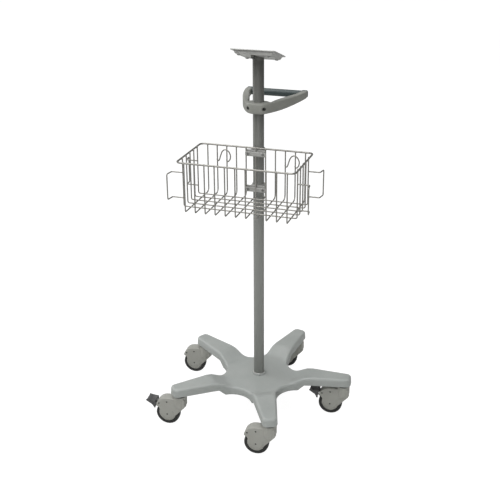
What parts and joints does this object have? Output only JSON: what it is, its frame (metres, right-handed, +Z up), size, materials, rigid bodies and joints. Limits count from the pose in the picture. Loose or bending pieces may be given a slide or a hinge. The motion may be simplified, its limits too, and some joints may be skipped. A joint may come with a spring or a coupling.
{
  "type": "rolling medical monitor stand",
  "caption": "Rolling stand for a patient monitor: star base on braked swivel casters, upright pole, wire basket with cable cleats, push handle and a tilted mounting plate.",
  "frame": {"origin": "on the floor, under the middle of the whole stand's plan", "axes": "+Z up along the pole; the basket faces -Y and the push handle +Y; +X is to the right of someone standing at the basket and facing the pole"},
  "size_m": [0.6037, 0.5631, 1.1527],
  "materials": {
    "base_paint": "satin",
    "pole_paint": "satin",
    "cast_grey": "satin",
    "grip_teal": "matte",
    "wire_steel": "satin",
    "plate_metal": "satin",
    "screw_steel": "satin",
    "fork_plastic": "matte",
    "pedal_plastic": "matte",
    "cup_plastic": "matte",
    "tyre_rubber": "matte"
  },
  "bodies": {
    "stand": {"base_casting": "base_paint", "basket": "wire_steel", "basket_band_lower": "plate_metal", "basket_band_upper": "plate_metal", "basket_bolt_lower_1": "screw_steel", "basket_bolt_lower_2": "screw_steel", "basket_bolt_upper_1": "screw_steel", "basket_bolt_upper_2": "screw_steel", "basket_plate_lower": "plate_metal", "basket_plate_upper": "plate_metal", "caster_1_cup": "cup_plastic", "caster_1_stem": "screw_steel", "caster_2_cup": "cup_plastic", "caster_2_stem": "screw_steel", "caster_3_cup": "cup_plastic", "caster_3_stem": "screw_steel", "caster_4_cup": "cup_plastic", "caster_4_stem": "screw_steel", "caster_5_cup": "cup_plastic", "caster_5_stem": "screw_steel", "handle_clamp": "cast_grey", "handle_frame": "cast_grey", "handle_grip": "grip_teal", "handle_screw_1": "screw_steel", "handle_screw_2": "screw_steel", "monitor_plate": "plate_metal", "plate_screw_1": "screw_steel", "plate_screw_2": "screw_steel", "plate_screw_3": "screw_steel", "plate_screw_4": "screw_steel", "plate_socket": "pole_paint", "plate_tray": "plate_metal", "pole_foot_bolt": "screw_steel", "pole_foot_insert": "screw_steel", "pole_foot_ring": "base_paint", "pole_tube": "pole_paint"},
    "caster_1_swivel": {"caster_1_fork": "fork_plastic", "caster_1_axle": "screw_steel"},
    "caster_1_wheel": {"caster_1_wheel": "fork_plastic", "caster_1_tyre": "tyre_rubber"},
    "caster_2_swivel": {"caster_2_fork": "fork_plastic", "caster_2_axle": "screw_steel", "caster_2_pedal_pin": "screw_steel"},
    "caster_2_wheel": {"caster_2_wheel": "fork_plastic", "caster_2_tyre": "tyre_rubber"},
    "caster_2_pedal": {"caster_2_pedal": "pedal_plastic"},
    "caster_3_swivel": {"caster_3_fork": "fork_plastic", "caster_3_axle": "screw_steel"},
    "caster_3_wheel": {"caster_3_wheel": "fork_plastic", "caster_3_tyre": "tyre_rubber"},
    "caster_4_swivel": {"caster_4_fork": "fork_plastic", "caster_4_axle": "screw_steel"},
    "caster_4_wheel": {"caster_4_wheel": "fork_plastic", "caster_4_tyre": "tyre_rubber"},
    "caster_5_swivel": {"caster_5_fork": "fork_plastic", "caster_5_axle": "screw_steel", "caster_5_pedal_pin": "screw_steel"},
    "caster_5_wheel": {"caster_5_wheel": "fork_plastic", "caster_5_tyre": "tyre_rubber"},
    "caster_5_pedal": {"caster_5_pedal": "pedal_plastic"}
  },
  "joints": [
    {"name": "caster_1_swivel_joint", "type": "hinge", "parent": "stand", "child": "caster_1_swivel", "pos_m": [0.11825, -0.25456, 0.09], "axis": [0, 0, 1], "continuous": true},
    {"name": "caster_1_roll", "type": "hinge", "parent": "caster_1_swivel", "child": "caster_1_wheel", "pos_m": [0.08034, -0.25722, 0.0375], "axis": [0.0698, -0.9976, 0], "continuous": true},
    {"name": "caster_2_swivel_joint", "type": "hinge", "parent": "stand", "child": "caster_2_swivel", "pos_m": [0.27647, 0.02059, 0.09], "axis": [0, 0, 1], "continuous": true},
    {"name": "caster_2_roll", "type": "hinge", "parent": "caster_2_swivel", "child": "caster_2_wheel", "pos_m": [0.23856, 0.01794, 0.0375], "axis": [0.0698, -0.9976, 0], "continuous": true},
    {"name": "caster_2_pedal_hinge", "type": "hinge", "parent": "caster_2_swivel", "child": "caster_2_pedal", "pos_m": [0.21263, 0.01613, 0.0735], "axis": [0.0698, -0.9976, 0], "range_deg": [0, 12]},
    {"name": "caster_3_swivel_joint", "type": "hinge", "parent": "stand", "child": "caster_3_swivel", "pos_m": [0.06367, 0.2561, 0.09], "axis": [0, 0, 1], "continuous": true},
    {"name": "caster_3_roll", "type": "hinge", "parent": "caster_3_swivel", "child": "caster_3_wheel", "pos_m": [0.02577, 0.25345, 0.0375], "axis": [0.0698, -0.9976, 0], "continuous": true},
    {"name": "caster_4_swivel_joint", "type": "hinge", "parent": "stand", "child": "caster_4_swivel", "pos_m": [-0.22606, 0.12649, 0.09], "axis": [0, 0, 1], "continuous": true},
    {"name": "caster_4_roll", "type": "hinge", "parent": "caster_4_swivel", "child": "caster_4_wheel", "pos_m": [-0.26397, 0.12384, 0.0375], "axis": [0.0698, -0.9976, 0], "continuous": true},
    {"name": "caster_5_swivel_joint", "type": "hinge", "parent": "stand", "child": "caster_5_swivel", "pos_m": [-0.19233, -0.18912, 0.09], "axis": [0, 0, 1], "continuous": true},
    {"name": "caster_5_roll", "type": "hinge", "parent": "caster_5_swivel", "child": "caster_5_wheel", "pos_m": [-0.23024, -0.19177, 0.0375], "axis": [0.0698, -0.9976, 0], "continuous": true},
    {"name": "caster_5_pedal_hinge", "type": "hinge", "parent": "caster_5_swivel", "child": "caster_5_pedal", "pos_m": [-0.25618, -0.19358, 0.0735], "axis": [0.0698, -0.9976, 0], "range_deg": [0, 12]}
  ]
}
